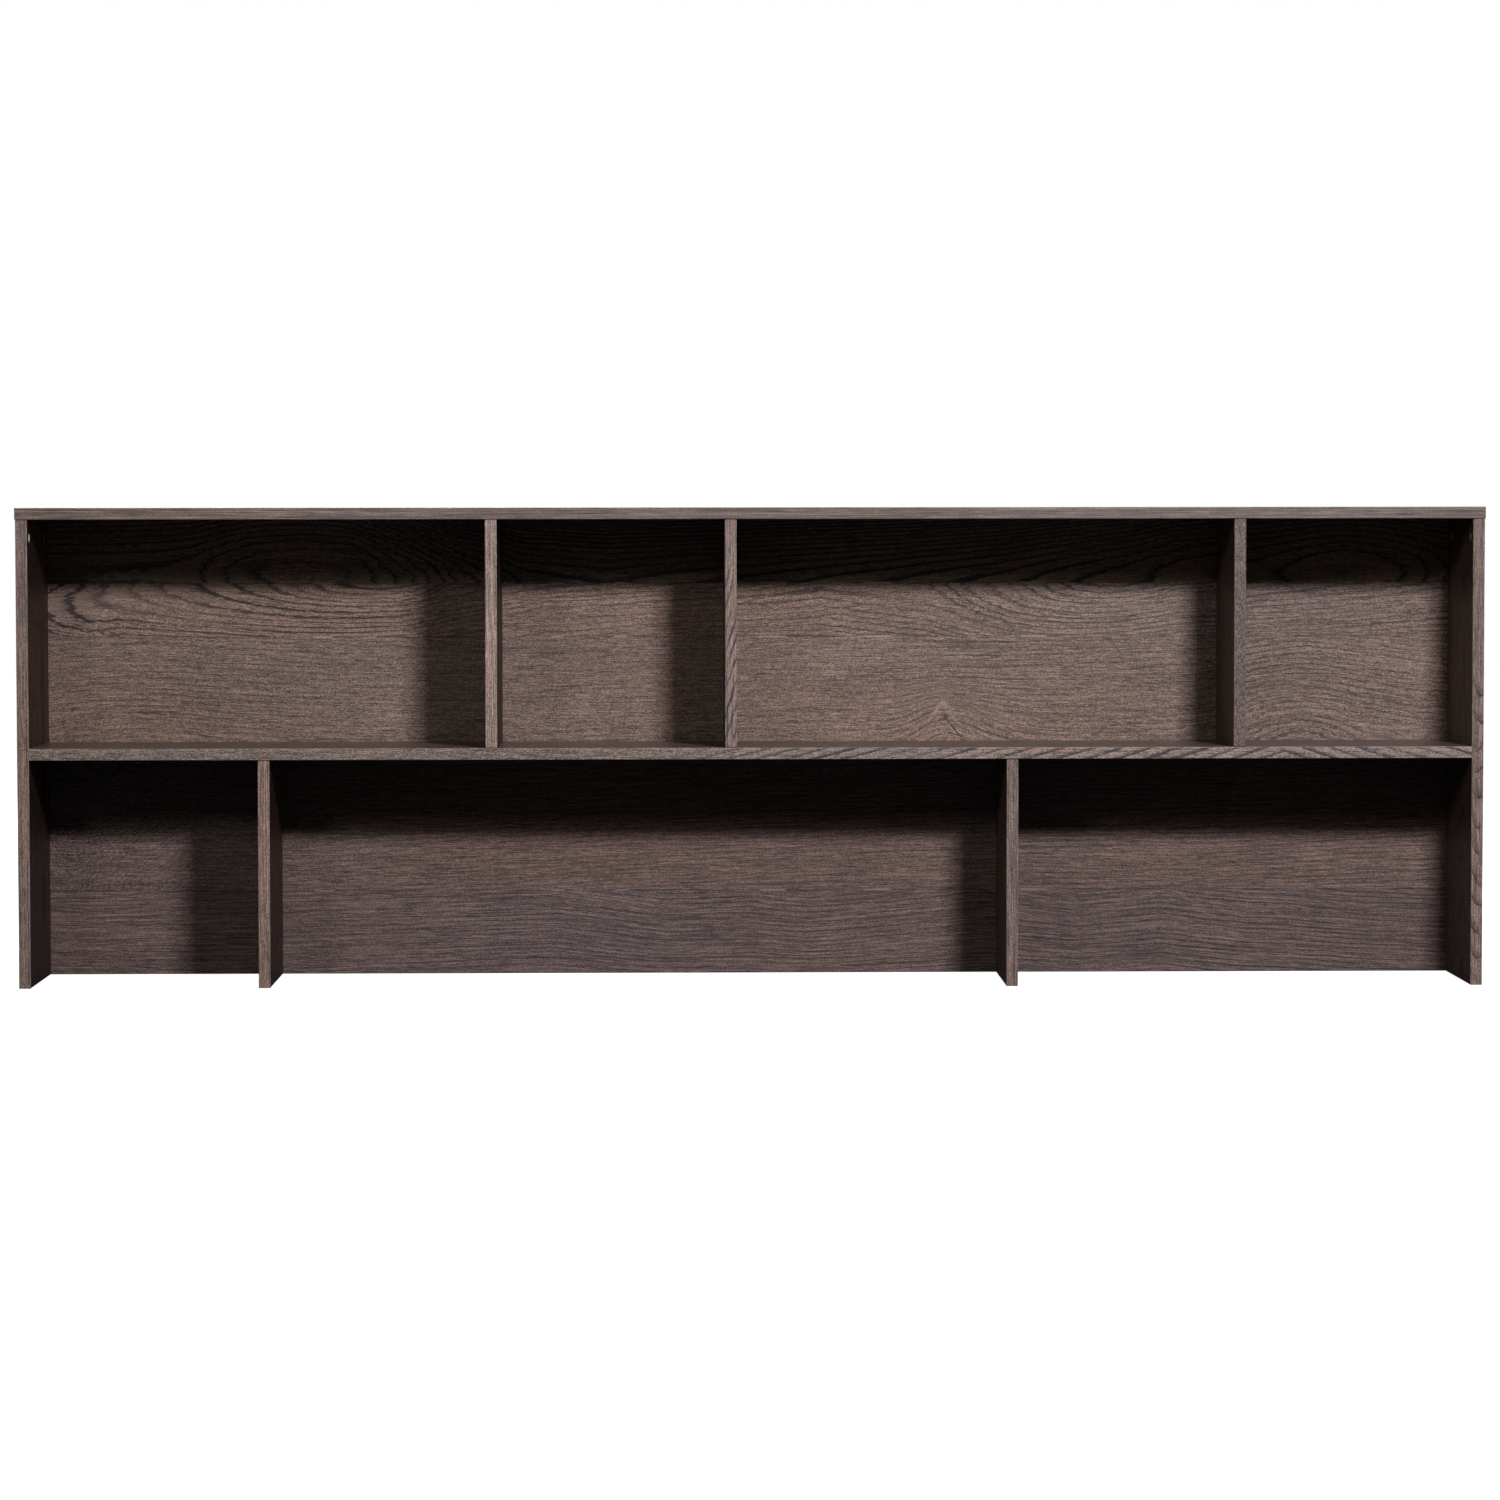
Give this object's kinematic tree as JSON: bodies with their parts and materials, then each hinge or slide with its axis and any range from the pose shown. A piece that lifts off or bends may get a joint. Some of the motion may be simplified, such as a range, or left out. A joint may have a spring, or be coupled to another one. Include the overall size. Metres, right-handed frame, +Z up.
{
  "type": "desk hutch",
  "caption": "Open shelf unit in dark oak board that stands along the back of a desk: full back, one long shelf and square and double open compartments.",
  "frame": {"origin": "on the desk surface, at the centre of the hutch's footprint", "axes": "+X to the right along the length as seen from the open front, +Y to the rear towards the back panel, +Z up"},
  "size_m": [2, 0.215, 0.654],
  "materials": {
    "oak_board": "dark smoked oak decor on board, grain along the length, matt with open pores",
    "oak_upright": "dark smoked oak decor on board, upright grain, matt with open pores",
    "edge_band": "edge band with dark oak print along its length, satin, outer corners scraped round",
    "cam_zinc": "die-cast zinc, bright, slightly cloudy",
    "bolt_steel": "zinc-plated steel",
    "dowel_beech": "fluted beech, unfinished",
    "cap_plastic": "moulded dark brown plastic, fine texture"
  },
  "bodies": {
    "root": {"top_panel": "oak_board", "top_panel_edge_bands": "edge_band", "left_side_panel": "oak_upright", "left_side_edge_bands": "edge_band", "left_side_foot_band": "edge_band", "right_side_panel": "oak_upright", "right_side_edge_bands": "edge_band", "right_side_foot_band": "edge_band", "middle_shelf": "oak_board", "middle_shelf_front_band": "edge_band", "back_panel": "oak_board", "back_panel_bottom_band": "edge_band", "upper_divider_left": "oak_upright", "upper_divider_left_band": "edge_band", "upper_divider_center": "oak_upright", "upper_divider_center_band": "edge_band", "upper_divider_right": "oak_upright", "upper_divider_right_band": "edge_band", "lower_divider_left": "oak_upright", "lower_divider_left_band": "edge_band", "lower_divider_left_foot_band": "edge_band", "lower_divider_right": "oak_upright", "lower_divider_right_band": "edge_band", "lower_divider_right_foot_band": "edge_band", "top_cam_locks": "cam_zinc", "top_cam_bolts": "bolt_steel", "shelf_cam_locks": "cam_zinc", "shelf_cam_bolts": "bolt_steel", "divider_cam_locks": "cam_zinc", "divider_cam_bolts": "bolt_steel", "back_cam_locks": "cam_zinc", "back_cam_bolts": "bolt_steel", "top_dowels": "dowel_beech", "shelf_dowels": "dowel_beech", "divider_top_dowels": "dowel_beech", "divider_shelf_dowels": "dowel_beech", "back_panel_dowels": "dowel_beech", "back_panel_screws": "bolt_steel", "screw_cover_caps": "cap_plastic"}
  },
  "joints": []
}
